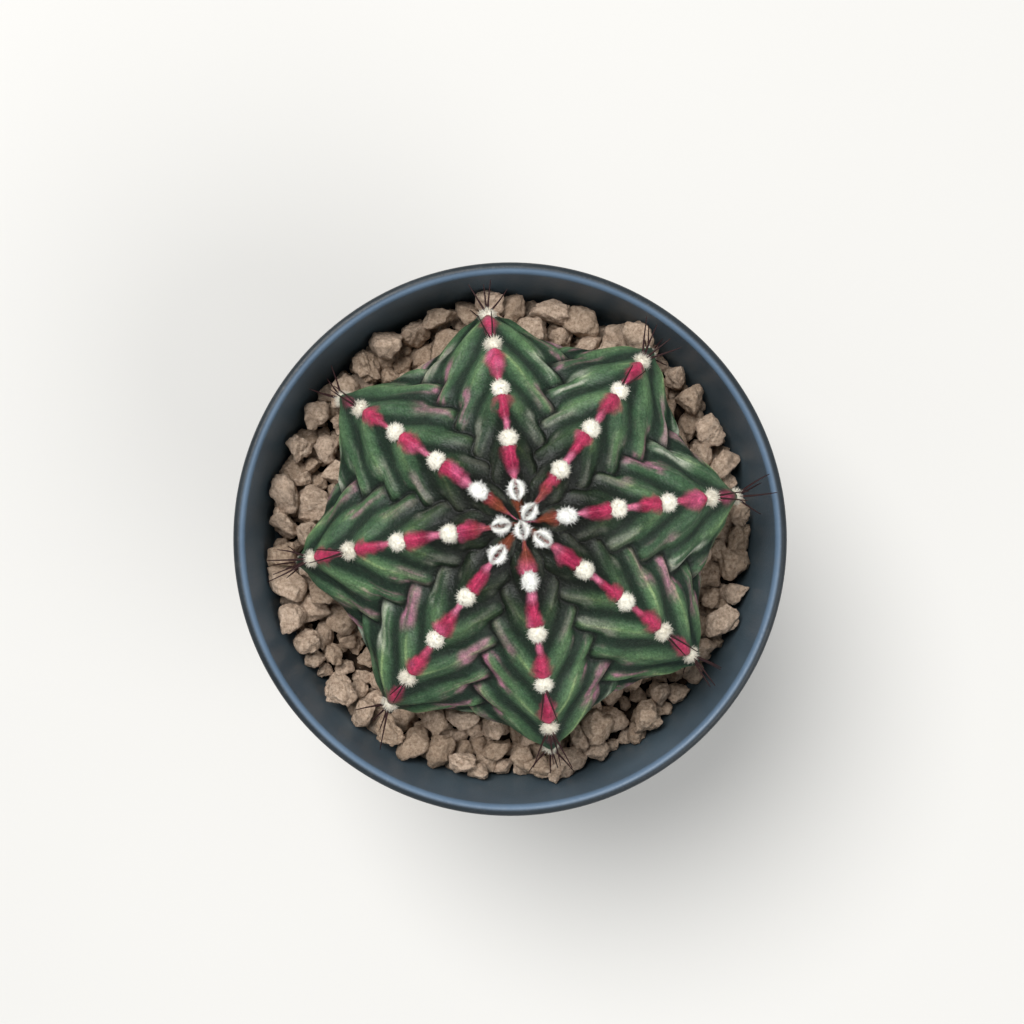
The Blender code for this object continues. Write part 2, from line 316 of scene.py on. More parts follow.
def skin_material():
    n = Nodes("cactus_skin_fine", 0.5, 0.2)
    n.shader.inputs["Subsurface Weight"].default_value = 0.08
    n.shader.inputs["Subsurface Radius"].default_value = (0.0012, 0.0009, 0.0005)
    n.shader.inputs["Subsurface Scale"].default_value = 1.0
    tint = n.attribute("tint", colour=True)
    mottle = n.ramp(n.noise(1100, 5, 0.7), (0.3, (0.62, 0.64, 0.62)), (0.72, (1.4, 1.36, 1.3)))
    colour = n.mix(tint, mottle, 0.85, "MULTIPLY")
    dapple = n.ramp(n.noise(3000, 3, 0.75), (0.36, (0.66, 0.68, 0.66)), (0.66, (1.36, 1.33, 1.3)))
    colour = n.mix(colour, dapple, 0.8, "MULTIPLY")
    specks = n.remap(n.cells(2600), 0.0, 0.18, 0.25, 0.0)
    colour = n.mix(colour, srgb(140, 150, 128), specks)
    grain = n.bump(n.noise(3200, 3), 0.00006)
    pores = n.bump(n.cells(2400), 0.00005, under=grain)
    folds = n.bump(n.noise(500, 4), 0.00022, under=pores)
    return n.finish(colour, folds, n.remap(n.noise(650, 3), 0.35, 0.7, 0.4, 0.58))


def wool_material(name, pale, painted_shade):
    n = Nodes(name, 0.95, 0.1)
    n.shader.inputs["Sheen Weight"].default_value = 0.25
    n.shader.inputs["Sheen Roughness"].default_value = 0.5
    n.shader.inputs["Subsurface Weight"].default_value = 0.15
    n.shader.inputs["Subsurface Radius"].default_value = (0.0006, 0.0005, 0.0004)
    n.shader.inputs["Subsurface Scale"].default_value = 1.0
    # The colour darkens toward depth 0, the dome's underside and the hair roots, and pales toward
    # the dome's top and the hair tips: painted shade deep in the tuft.
    depth = n.ramp(n.attribute("depth"), (0.0, painted_shade), (0.55, pale))
    tangle = n.ramp(n.noise(2600, 4, 0.7), (0.32, (0.66, 0.64, 0.6)), (0.6, (1.0, 1.0, 1.0)))
    colour = n.mix(depth, tangle, 0.8, "MULTIPLY")
    return n.finish(colour, n.bump(n.noise(4200, 3), 0.00012))


def spine_material():
    n = Nodes("dark_spine", 0.6, 0.2)
    colour = n.ramp(n.attribute("depth"), (0.0, srgb(72, 46, 40)), (0.25, srgb(40, 18, 18)))
    return n.finish(colour, n.bump(n.noise(3000, 2), 0.00003))


def pumice_material():
    n = Nodes("pumice_rough", 0.92, 0.25)
    # The grain that colours the stone also bumps it, so the colour is partly the stone's own
    # mottling and partly painted light: darker in the hollows, paler on the knobs.
    grain = n.noise(1500, 6, 0.75)
    body = n.ramp(
        grain,
        (0.25, srgb(118, 98, 82)),
        (0.45, srgb(182, 158, 136)),
        (0.6, srgb(212, 189, 166)),
        (0.8, srgb(244, 229, 210)),
    )
    tone = n.ramp(n.attribute("tone"), (0.0, (0.80, 0.77, 0.74)), (1.0, (1.12, 1.12, 1.14)))
    colour = n.mix(body, tone, 1.0, "MULTIPLY")
    # Painted shade in the pits: the dark colour lies on the same cells that sink them.
    pits = n.remap(n.cells(1000), 0.0, 0.24, 0.55, 0.0)
    colour = n.mix(colour, srgb(92, 70, 54), pits)
    crystals = n.remap(n.cells(3400), 0.0, 0.14, 0.6, 0.0)
    colour = n.mix(colour, srgb(232, 220, 204), crystals)
    normal = n.bump(n.cells(1000), 0.00022)
    normal = n.bump(grain, 0.00075, under=normal)
    normal = n.bump(n.noise(5200, 3, 0.7), 0.00012, under=normal)
    return n.finish(colour, normal)


def soil_material():
    n = Nodes("dark_soil", 0.96, 0.2)
    crumbs = n.cells(420)
    colour = n.ramp(
        crumbs, (0.0, srgb(92, 72, 56)), (0.5, srgb(48, 37, 29)), (1.0, srgb(24, 19, 16))
    )
    grit = n.remap(n.cells(900), 0.0, 0.16, 0.5, 0.0)
    colour = n.mix(colour, srgb(170, 160, 148), grit)
    normal = n.bump(crumbs, 0.0008)
    return n.finish(colour, n.bump(n.noise(1800, 5, 0.7), 0.0004, under=normal))


def floor_material():
    n = Nodes("pale_floor", 0.8, 0.2)
    colour = n.ramp(n.noise(3, 2), (0.3, srgb(202, 200, 196)), (0.7, srgb(208, 206, 202)))
    return n.finish(colour)


# ---------------------------------------------------------------- pot

INNER_WALL = (
    (POT_HEIGHT, RIM_RADIUS - LIP_WIDTH),
    (POT_HEIGHT - COLLAR_HEIGHT, RIM_RADIUS - LIP_WIDTH - COLLAR_DRAFT),
    (
        POT_HEIGHT - COLLAR_HEIGHT - SHOULDER_HEIGHT,
        RIM_RADIUS - LIP_WIDTH - COLLAR_DRAFT - SHOULDER_STEP,
    ),
    (FLOOR_TOP, FOOT_RADIUS - WALL),
)


def inner_radius(height):
    heights = [h for h, _ in reversed(INNER_WALL)]
    radii = [r for _, r in reversed(INNER_WALL)]
    return np.interp(height, heights, radii)


def arc(centre, radius, start, end, steps):
    """Points of an arc between two angles in degrees, as (radius, height) pairs."""
    angles = [math.radians(start + (end - start) * i / steps) for i in range(steps + 1)]
    return [(centre[0] + radius * math.cos(a), centre[1] + radius * math.sin(a)) for a in angles]


def rounded(profile, radius, steps=4):
    """An open profile with each inner corner replaced by a short arc-like curve."""
    points = [profile[0]]
    for before, corner, after in zip(profile, profile[1:], profile[2:]):
        before, corner, after = (Vector(p) for p in (before, corner, after))
        reach_in = min(radius, (before - corner).length / 2.2)
        reach_out = min(radius, (after - corner).length / 2.2)
        start = corner + (before - corner).normalized() * reach_in
        end = corner + (after - corner).normalized() * reach_out
        for i in range(steps + 1):
            share = i / steps
            near = start.lerp(corner, share)
            far = corner.lerp(end, share)
            points.append(tuple(near.lerp(far, share)))
    points.append(profile[-1])
    return points


def make_pot(material):
    """The moulded pot: a bead round the mouth, wall, shoulder, foot ring and drained floor."""
    lip_bottom = POT_HEIGHT - LIP_HEIGHT
    bead = arc(
        (RIM_RADIUS - LIP_WIDTH / 2, POT_HEIGHT - LIP_WIDTH / 2), LIP_WIDTH / 2, 180, 0, 20
    )
    skirt = arc((RIM_RADIUS - LIP_FILLET, lip_bottom + LIP_FILLET), LIP_FILLET, 0, -90, 6)
    outside = [skirt[-1], (inner_radius(lip_bottom) + WALL, lip_bottom)]
    outside += [(radius + WALL, height) for height, radius in INNER_WALL[1:]]
    outside += [
        (FOOT_RADIUS, 0.0),
        (FOOT_RADIUS - FOOT_WIDTH, 0.0),
        (FOOT_RADIUS - FOOT_WIDTH, FOOT_HEIGHT),
        (CENTRE_HOLE_RADIUS, FOOT_HEIGHT),
        (CENTRE_HOLE_RADIUS, FLOOR_TOP),
    ]
    outside += [(radius, height) for height, radius in reversed(INNER_WALL[1:])]
    outside.append(bead[0])
    profile = bead + skirt[:-1] + rounded(outside, 0.5 * MM)[:-1]
    mesh = bpy.data.meshes.new("pot_profile")
    count = len(profile)
    mesh.from_pydata(
        [(r, 0.0, z) for r, z in profile], [(i, (i + 1) % count) for i in range(count)], []
    )
    pot = bpy.data.objects.new("pot_fine", mesh)
    bpy.context.scene.collection.objects.link(pot)
    screw = pot.modifiers.new("Turn", "SCREW")
    screw.steps = POT_SEGMENTS
    screw.render_steps = POT_SEGMENTS
    screw.use_merge_vertices = True
    screw.merge_threshold = 0.00001
    holes = bmesh.new()
    for i in range(OUTER_HOLE_COUNT):
        bearing = TURN * i / OUTER_HOLE_COUNT
        x, y = OUTER_HOLE_CIRCLE * math.cos(bearing), OUTER_HOLE_CIRCLE * math.sin(bearing)
        made = bmesh.ops.create_cone(
            holes, cap_ends=True, segments=HOLE_SEGMENTS, depth=HOLE_CUTTER_LENGTH,
            radius1=OUTER_HOLE_RADIUS, radius2=OUTER_HOLE_RADIUS,
        )
        bmesh.ops.translate(holes, verts=made["verts"], vec=(x, y, HOLE_MIDDLE))
    cutter_mesh = bpy.data.meshes.new("drain_holes")
    holes.to_mesh(cutter_mesh)
    holes.free()
    cutter = bpy.data.objects.new("drain_holes", cutter_mesh)
    bpy.context.scene.collection.objects.link(cutter)
    boolean = pot.modifiers.new("Holes", "BOOLEAN")
    boolean.operation = "DIFFERENCE"
    boolean.solver = "EXACT"
    boolean.object = cutter
    graph = bpy.context.evaluated_depsgraph_get()
    final = bpy.data.meshes.new_from_object(pot.evaluated_get(graph))
    pot.modifiers.clear()
    pot.data = final
    bpy.data.objects.remove(cutter)
    final.materials.clear()
    final.materials.append(material)
    final.shade_smooth()
    final.set_sharp_from_angle(angle=math.radians(35))
    places = np.array([v.co for v in final.vertices])
    radius = np.hypot(places[:, 0], places[:, 1])
    from_rim = RIM_RADIUS - radius
    # The lip mask lays the painted highlight on the bead's top; the inside mask lays the lighter
    # lit copy of the plastic, and the rest keeps the painted shade of the outside.
    lip_highlight = smooth(0.85 * MM, 1.5 * MM, from_rim) * (1 - smooth(2.0 * MM, 2.15 * MM, from_rim))
    near_top = smooth(POT_HEIGHT - 1.1 * MM, POT_HEIGHT, places[:, 2]) ** 0.3
    add_attribute(pot, "lip", lip_highlight * near_top)
    past_wall = inner_radius(places[:, 2]) + WALL / 2 - radius
    inside = smooth(-0.2 * MM, 0.2 * MM, past_wall) * smooth(FOOT_HEIGHT, FLOOR_TOP, places[:, 2])
    add_attribute(pot, "inside", inside)
    return pot


# ---------------------------------------------------------------- plant


def crest_points(rings):
    """Radius, height and outward normal of the crest line at an array of rings."""
    rings = np.asarray(rings, float)
    crown = np.pi / 2 * np.minimum(rings / CROWN_RINGS, 1.0)
    radius = PLANT_RADIUS * np.sin(crown)
    height = CROWN_HEIGHT * np.cos(crown)
    height = height - CROWN_DIP * np.exp(-((radius / CROWN_DIP_RADIUS) ** 2))
    normal_r = np.sin(crown) / PLANT_RADIUS
    normal_z = np.cos(crown) / CROWN_HEIGHT
    under = UNDERSIDE_END * np.clip((rings - CROWN_RINGS) / UNDERSIDE_RINGS, 0.0, 1.0)
    low = rings > CROWN_RINGS
    radius = np.where(low, PLANT_RADIUS * np.cos(under), radius)
    height = np.where(low, -UNDERSIDE_HEIGHT * np.sin(under), height)
    normal_r = np.where(low, np.cos(under) / PLANT_RADIUS, normal_r)
    normal_z = np.where(low, -np.sin(under) / UNDERSIDE_HEIGHT, normal_z)
    size = np.hypot(normal_r, normal_z)
    return radius, height, normal_r / size, normal_z / size


FINE_RINGS = np.linspace(0, CROWN_RINGS + UNDERSIDE_RINGS, 2001)
FINE_CREST = crest_points(FINE_RINGS)
FINE_ARC = np.concatenate(
    ([0.0], np.cumsum(np.hypot(np.diff(FINE_CREST[0]), np.diff(FINE_CREST[1]))))
)


def furrow_depth(rings):
    crown = np.sin(np.pi / 2 * np.minimum(rings / CROWN_RINGS, 1.0)) ** RIB_ONSET
    under = 1 - smooth(0.0, 1.0, (rings - CROWN_RINGS) / UNDERSIDE_RINGS)
    return RIB_DEPTH * np.where(rings <= CROWN_RINGS, crown, under)


def leaning(points):
    rise = np.clip(points[..., 2] + WIDEST_ABOVE_DRESSING, 0.0, None)
    share = (rise / (CROWN_HEIGHT + WIDEST_ABOVE_DRESSING)) ** 1.5
    return points + share[..., None] * PLANT_LEAN


def areole_number(arc_length):
    """The spiral's running number at an arc length, as a fraction: areole k sits where it is k."""
    inside = AREOLE_STEP ** 2 + 4 * AREOLE_STEP_GROWTH * (arc_length - FIRST_AREOLE_ARC)
    root = np.sqrt(np.maximum(inside, 0.0))
    return (root - AREOLE_STEP) / (2 * AREOLE_STEP_GROWTH)


def first_number(rib):
    """The running number of a rib's innermost areole. Rib 0 is the first."""
    numbers = range(RIB_COUNT)
    return next(k for k in numbers if (FIRST_AREOLE_RIB - 1 - AREOLE_TURN * k) % RIB_COUNT == rib)


FIRST_NUMBERS = np.array([first_number(rib) for rib in range(RIB_COUNT)])


def rib_phase(rib, arc_length):
    """Whole at each of the rib's areoles, counted outward from its innermost one."""
    return (areole_number(arc_length) - FIRST_NUMBERS[rib]) / RIB_COUNT


def ridge(phase, narrowing=1.0):
    """Height of the cross folds from 0 to 1: a wide one with a fine edge from each areole."""
    off = np.minimum(np.abs(phase - np.round(phase)) * narrowing, 0.5)
    return 0.88 * (1 - smooth(0.0, 0.5, off)) + 0.12 * (1 - smooth(0.0, 0.1, off))


def skin_grid():
    """The skin's vertices, in rows along rings.

    Returns each one's azimuth, ring, arc length, rib, place between crest (0) and the zigzag
    furrow (1), the same place as if the furrow ran straight, and side of its rib (1 or -1).
    """
    crown = np.linspace(0, 1, SKIN_RINGS * 2 // 3) ** 0.9 * CROWN_RINGS
    under = CROWN_RINGS + np.linspace(0, 1, SKIN_RINGS // 3 + 1)[1:] * UNDERSIDE_RINGS
    rings = np.concatenate((crown[1:], under))
    turns = (np.arange(SKIN_AROUND) + 0.5) / SKIN_AROUND * RIB_COUNT
    azimuth = FIRST_RIB_AZIMUTH - turns * TURN / RIB_COUNT
    turns, ring = np.meshgrid(turns, rings)
    azimuth = np.broadcast_to(azimuth, turns.shape)
    length = np.interp(ring, FINE_RINGS, FINE_ARC)
    low = np.floor(turns).astype(int) % RIB_COUNT
    high = (low + 1) % RIB_COUNT
    at_furrow = length / (1 - slant(length))
    push = ridge(rib_phase(low, at_furrow)) - ridge(rib_phase(high, at_furrow))
    onset = smooth(2 * MM, 9 * MM, length) * (1 - smooth(50 * MM, 60 * MM, length))
    boundary = 0.5 + FURROW_ZIGZAG * push * onset
    part = turns % 1.0
    first_side = part < boundary
    rib = np.where(first_side, low, high)
    across = np.where(first_side, part / boundary, (1 - part) / (1 - boundary))
    straight = 2 * np.where(first_side, part, 1 - part)
    side = np.where(first_side, 1.0, -1.0)
    return azimuth, ring, length, rib, across, straight, side


def slant(length):
    """How far inward the cross ridges have run by the time they reach the furrow."""
    return RIDGE_SLANT - 0.15 * (length / (44 * MM)) ** 2


def skin_form(azimuth, ring, length, rib, across, straight):
    """The skin's points, then what its colours need.

    Those are the phase along the cross folds, the folds' height from 0 to 1, the phase on the
    crest, the distance from the crest, the share of chin, and the points without any relief.
    """
    radius, height, normal_r, normal_z = crest_points(ring)
    flat = np.stack((np.cos(azimuth) * radius, np.sin(azimuth) * radius, height), -1)
    phase = rib_phase(rib, length / (1 - slant(length) * straight ** RIDGE_CURVE))
    phase = phase + 0.07 * noise(flat / (6 * MM), 3) * smooth(0.0, 0.5, across)
    crest_phase = rib_phase(rib, length)

    rounded_across = np.sqrt(across ** 2 + CREST_ROUNDING ** 2) - CREST_ROUNDING
    rounded_across /= math.sqrt(1 + CREST_ROUNDING ** 2) - CREST_ROUNDING
    flank = 1 - (1 - rounded_across) ** RIB_SHARPNESS
    flank += (rounded_across ** 4 - flank) * FURROW_CREASE
    depth = furrow_depth(ring) * flank

    sideways = across * radius * TURN / RIB_COUNT / 2
    young = smooth(3 * MM, 13 * MM, length)
    grown = young * (1 - 0.75 * smooth(46 * MM, 58 * MM, length))
    top = ridge(phase, 1 + 0.5 * smooth(0.65, 1.0, across) ** 2)
    relief = RIDGE_HEIGHT * top * smooth(0.02, 0.3, across) * (1 - 0.35 * across) * grown
    relief *= 1 + 0.25 * noise(flat / (9 * MM), 4)
    relief *= 1 - 0.45 * smooth(0.82, 1.0, across)

    turn = crest_phase % 1.0
    chin = smooth(0.2, 0.72, turn) * (1 - smooth(0.82, 0.96, turn))
    relief += CHIN_HEIGHT * chin * np.exp(-((sideways / (1.3 * MM)) ** 2)) * grown
    off = np.abs(crest_phase - np.round(crest_phase)) * RIB_COUNT * AREOLE_STEP
    notch = np.exp(-((off / (1.5 * MM)) ** 2) - (sideways / (2.2 * MM)) ** 2)
    relief -= NOTCH_DEPTH * notch * young
    relief += 0.05 * MM * rough_noise(flat / (1.6 * MM), 11) * young
    relief += 0.12 * MM * noise(flat / (6 * MM), 12) * young

    out = relief - depth
    radius = np.maximum(radius + out * normal_r, 0.0)
    points = np.stack(
        (np.cos(azimuth) * radius, np.sin(azimuth) * radius, height + out * normal_z), -1
    )
    return leaning(points) + PLANT_PLACE, phase, top, crest_phase, sideways, chin, flat


def blend(base, colour, mask):
    """base with a colour, or an array of them, laid over it by a mask from 0 to 1."""
    return base + (np.array(colour) - base) * np.clip(mask, 0.0, 1.0)[..., None]


def skin_tint(length, rib, across, side, phase, top, crest_phase, sideways, chin, flat):
    """The skin's colour at each vertex."""
    flow = np.stack((phase, across, rib * 3.7 + side * 11.3), -1)
    streak = rough_noise(flow * np.array((3.6, 3.0, 1.0)), 21)
    fibre = rough_noise(flow * np.array((22.0, 4.0, 1.0)), 26)
    cloud = rough_noise(flat / (4.5 * MM), 22)
    fine = rough_noise(flat / (1.1 * MM), 23)

    # The green follows the cross folds' height: painted shade in the valleys between folds, and a
    # lighter band with a painted highlight along each fold's top.
    tint = np.full(length.shape + (3,), srgb(25, 40, 30))
    tint = blend(tint, srgb(51, 76, 54), smooth(0.02, 0.5, top + 0.15 * cloud))
    lively = smooth(-0.6, 0.4, noise(flow * np.array((1.7, 3.2, 1.0)), 24))
    spread = smooth(0.03, 0.18, across) * (1 - 0.6 * smooth(0.8, 1.0, across))
    tint = blend(tint, srgb(82, 110, 76), 0.8 * smooth(0.4, 0.85, top) * spread * lively)
    # Painted highlight along the top of each fold.
    painted_fold_highlight = smooth(0.86, 1.0, top + 0.03 * fibre) * spread * smooth(-0.5, 0.6, streak)
    tint = blend(tint, srgb(134, 156, 108), 0.75 * painted_fold_highlight * lively)

    fold = np.stack((rib * 3.3 + 0.5, np.round(phase) * 1.7 + 0.3, side * 2.1 + 0.7), -1)
    strength = 0.45 + 0.55 * smooth(-0.6, 0.3, noise(fold, 25))
    warm = smooth(-0.35, 0.1, noise(fold, 27)) * smooth(13 * MM, 24 * MM, length)
    pale = smooth(-0.4, 0.7, streak + 0.3 * fibre) * smooth(0.42, 0.75, across)
    pale = pale * smooth(0.05, 0.5, top) * (1 - 0.7 * smooth(0.94, 1.0, across)) * strength
    tint = blend(tint, srgb(158, 162, 150), 0.85 * pale * (1 - warm))
    blush = 0.9 * pale * warm * (0.75 + 0.35 * fine)
    tint = blend(tint, srgb(170, 108, 136), blush)
    threads = smooth(0.25, 0.8, fibre) * smooth(0.2, 0.7, top) * smooth(0.1, 0.3, across)
    tint = blend(tint, srgb(150, 158, 140), 0.12 * threads)

    # Painted shade in the furrows: the skin darkens toward each furrow line.
    tint = blend(tint, srgb(15, 20, 17), 0.9 * smooth(0.88, 1.0, across))
    centre = 1 - smooth(9 * MM, 24 * MM, length)
    tint = blend(tint, srgb(14, 14, 11), 0.9 * centre)

    turn = crest_phase % 1.0
    width = (0.46 + 0.74 * chin) * MM * smooth(0.0, 8 * MM, length) ** 0.5
    width = width * (1 + 0.35 * fine + 0.25 * cloud)
    on_crest = 1 - smooth(0.35, 1.45, sideways / np.maximum(width, 0.1 * MM))
    past_widest = 1 - smooth(34 * MM, 39 * MM, length)
    lilac = smooth(0.06, 0.12, turn) * (1 - smooth(0.3, 0.5, turn))
    mauve = np.full_like(tint, srgb(166, 58, 94))
    mauve = blend(mauve, srgb(188, 100, 132), 1 - smooth(16 * MM, 24 * MM, length))
    tint = blend(tint, mauve, 0.85 * on_crest * lilac * past_widest)
    crimson = smooth(0.3, 0.52, turn) * (1 - smooth(0.9, 0.98, turn))
    hot = np.full_like(tint, srgb(166, 44, 82))
    hot = blend(hot, srgb(118, 26, 56), 0.7 * smooth(0.1, 0.7, fine))
    hot = blend(hot, srgb(188, 84, 124), smooth(0.3, 1.2, cloud + smooth(26 * MM, 44 * MM, length)))
    ember = 1 - smooth(4 * MM, 9 * MM, length)
    hot = blend(hot, srgb(120, 62, 44), ember)
    crimson = np.maximum(crimson, ember * smooth(1 * MM, 3 * MM, length))
    tint = blend(tint, hot, 0.92 * on_crest * crimson * past_widest)

    tint = blend(tint, srgb(96, 104, 82), 0.55 * smooth(50 * MM, 58 * MM, length))
    return tint


def make_skin(material):
    azimuth, ring, length, rib, across, straight, side = skin_grid()
    form = skin_form(azimuth, ring, length, rib, across, straight)
    points = form[0]
    tint = skin_tint(length, rib, across, side, *form[1:])
    rows, columns = azimuth.shape
    index = np.arange(rows * columns).reshape(rows, columns)
    beside = np.roll(index, -1, axis=1)
    faces = np.stack((index[:-1], beside[:-1], beside[1:], index[1:]), -1).reshape(-1, 4)
    faces = faces.tolist()
    vertices = points.reshape(-1, 3)
    top = vertices[:columns].mean(axis=0)
    foot_centre = vertices[-columns:].mean(axis=0)
    vertices = np.vstack((vertices, top, foot_centre - np.array((0, 0, 1.0 * MM))))
    top_index = rows * columns
    last = index[-1]
    for i in range(columns):
        follow = (i + 1) % columns
        faces.append((top_index, int(index[0, follow]), int(index[0, i])))
        faces.append((top_index + 1, int(last[i]), int(last[follow])))
    obj = mesh_object("cactus_skin", vertices, faces, material)
    colours = np.vstack((tint.reshape(-1, 3), tint[0].mean(axis=0), tint[-1].mean(axis=0)))
    add_attribute(obj, "tint", colours)
    return obj


# ---------------------------------------------------------------- areoles


def areole_seat(number):
    """Where areole number sits on the skin, and its axes along the rib, across it and up."""
    rib = (FIRST_AREOLE_RIB - 1 - AREOLE_TURN * number) % RIB_COUNT
    length = FIRST_AREOLE_ARC + AREOLE_STEP * number + AREOLE_STEP_GROWTH * number ** 2
    ring = np.interp(length, FINE_ARC, FINE_RINGS)
    radius, height, normal_r, normal_z = (float(v) for v in crest_points(ring))
    bearing = FIRST_RIB_AZIMUTH - TURN * rib / RIB_COUNT
    outward = np.array((math.cos(bearing), math.sin(bearing), 0.0))
    up = outward * normal_r + np.array((0.0, 0.0, normal_z))
    across = np.cross((0.0, 0.0, 1.0), outward)
    along = np.cross(across, up)
    sunk = NOTCH_DEPTH * 0.9 * float(smooth(3 * MM, 13 * MM, length))
    seat = leaning(outward * radius + np.array((0.0, 0.0, height))) + PLANT_PLACE - up * sunk
    return rib, seat, along, across, up


def tuft_tubes(roots, directions, lengths, thickness, bend, sides=3, steps=3, taper=0.92):
    """Tapered curved hairs as one set of vertices, faces and depth values."""
    count = len(roots)
    helper = np.where(np.abs(directions[:, 2:3]) < 0.9, (0.0, 0.0, 1.0), (1.0, 0.0, 0.0))
    side_a = np.cross(directions, helper)
    side_a /= np.linalg.norm(side_a, axis=1, keepdims=True)
    side_b = np.cross(directions, side_a)
    shares = np.linspace(0, 1, steps + 1)
    angles = np.arange(sides) * TURN / sides
    rings = []
    for share in shares:
        middle = roots + directions * (lengths * share)[:, None] + bend * (share ** 2)
        size = (thickness * (1 - taper * share))[:, None]
        for angle in angles:
            rings.append(middle + size * (math.cos(angle) * side_a + math.sin(angle) * side_b))
    grid = np.stack(rings, axis=1)
    per = (steps + 1) * sides
    pattern = []
    for step in range(steps):
        for i in range(sides):
            a = step * sides + i
            b = step * sides + (i + 1) % sides
            pattern.append((a, b, b + sides, a + sides))
    base = np.arange(count)[:, None, None] * per
    faces = (base + np.array(pattern)[None]).reshape(-1, 4).tolist()
    caps = base[:, 0] + np.arange(sides)[None, ::-1]
    ends = base[:, 0] + (per - sides) + np.arange(sides)[None]
    faces += caps.tolist() + ends.tolist()
    depth = np.broadcast_to(np.repeat(shares, sides)[None], (count, per)).reshape(-1)
    return grid.reshape(-1, 3), faces, depth


SPHERES = {}


def unit_sphere(level):
    """Vertices and faces of an icosphere of radius 1, made once for each level."""
    if level not in SPHERES:
        shape = bmesh.new()
        bmesh.ops.create_icosphere(shape, subdivisions=level, radius=1.0)
        vertices = np.array([v.co for v in shape.verts])
        faces = [[v.index for v in face.verts] for face in shape.faces]
        shape.free()
        SPHERES[level] = (vertices, faces)
    return SPHERES[level]


def joined(parts):
    """Several (vertices, faces, values) sets as one."""
    vertices, faces, values, offset = [], [], [], 0
    for part_vertices, part_faces, part_values in parts:
        vertices.append(part_vertices)
        faces += [[i + offset for i in face] for face in part_faces]
        values.append(part_values)
        offset += len(part_vertices)
    return np.vstack(vertices), faces, np.concatenate(values)


def hair_directions(count, rng, lowest):
    """Unit directions over a dome, from straight up to `lowest` degrees away from it."""
    tilt = np.arccos(1 - rng.random(count) * (1 - math.cos(math.radians(lowest))))
    around = rng.random(count) * TURN
    dirs = np.stack(
        (np.sin(tilt) * np.cos(around), np.sin(tilt) * np.sin(around), np.cos(tilt)), -1
    )
    return dirs / np.linalg.norm(dirs, axis=1, keepdims=True)


def wool_cushion(axes, seat, size, rng, seed, hairs, hair_length, bow=0.0):
    """A lumpy dome bristling with short fibres. size is half lengths along, across and up.

    bow moves its two ends sideways.
    """
    ball, faces = unit_sphere(4)
    lumps = 1 + 0.10 * rough_noise(ball * 3.1 + seed, seed)
    dome = ball * lumps[:, None] * size
    dome[:, 2] = np.where(dome[:, 2] < 0, dome[:, 2] * 0.4, dome[:, 2])
    # The depth values darken the dome's underside as painted shade and keep its top pale.
    parts = [(dome, faces, 0.25 + 0.45 * np.clip(ball[:, 2], 0, 1))]
    directions = hair_directions(hairs, rng, HAIR_SPREAD)
    roots = directions * size * 0.8
    lengths = hair_length * (0.5 + 0.8 * rng.random(hairs))
    bend = (rng.random((hairs, 3)) - 0.5) * hair_length * 0.7
    thickness = 0.045 * MM * (0.8 + 0.6 * rng.random(hairs))
    hair = tuft_tubes(roots, directions, lengths, thickness, bend)
    # Hair roots get low depth values: painted shade at the base of the tuft.
    parts.append((hair[0], hair[1], 0.45 + 0.55 * hair[2]))
    vertices, faces, depth = joined(parts)
    vertices[:, 1] += bow * (vertices[:, 0] / size[0]) ** 2
    return vertices @ axes + seat, faces, depth


def make_areole(number, materials):
    """The wool of one areole. The youngest are pairs of lips with a slit between them."""
    rib, seat, along, across, up = areole_seat(number)
    axes = np.stack((along, across, up))
    rng = np.random.default_rng(1000 + number)
    order = number // RIB_COUNT + 1
    if number < FIRST_SINGLE:
        stage = number / FIRST_GROWN
        material = materials["young"]
        length = (1.3 + 0.45 * stage) * MM
        parts = []
        for side in (-1, 1):
            gap = (0.78 + 0.14 * stage) * MM
            offset = np.array((0.0, side * gap, 0.25 * MM))
            size = np.array((length, (0.36 + 0.1 * stage) * MM, 0.62 * MM))
            lip = wool_cushion(
                np.eye(3), offset, size, rng, 31 * number + side, 190, 0.6 * MM, -side * gap * 0.75
            )
            parts.append(lip)
        vertices, faces, depth = joined(parts)
        vertices = vertices @ axes + seat
    elif number < FIRST_GROWN:
        material = materials["young"]
        size = np.array((1.5, 1.15, 1.0)) * MM
        vertices, faces, depth = wool_cushion(
            axes, seat + up * 0.2 * MM, size, rng, number, 400, 0.65 * MM
        )
    else:
        old = number >= FIRST_OLD
        material = materials["old" if old else "grown"]
        shrink = 1.0 - 0.012 * max(number - FIRST_SPINY, 0)
        size = np.array((1.32, 1.32, 1.1)) * MM * shrink
        vertices, faces, depth = wool_cushion(
            axes, seat + up * 0.2 * MM, size, rng, number, 420, (0.66 if old else 0.58) * MM
        )
    obj = mesh_object(f"wool_rib{rib + 1}_{order}", vertices, faces, material)
    add_attribute(obj, "depth", depth)
    if number < AREOLE_COUNT:
        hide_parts(f"areole_rib{rib + 1}_{order}")
    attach(obj, "root")


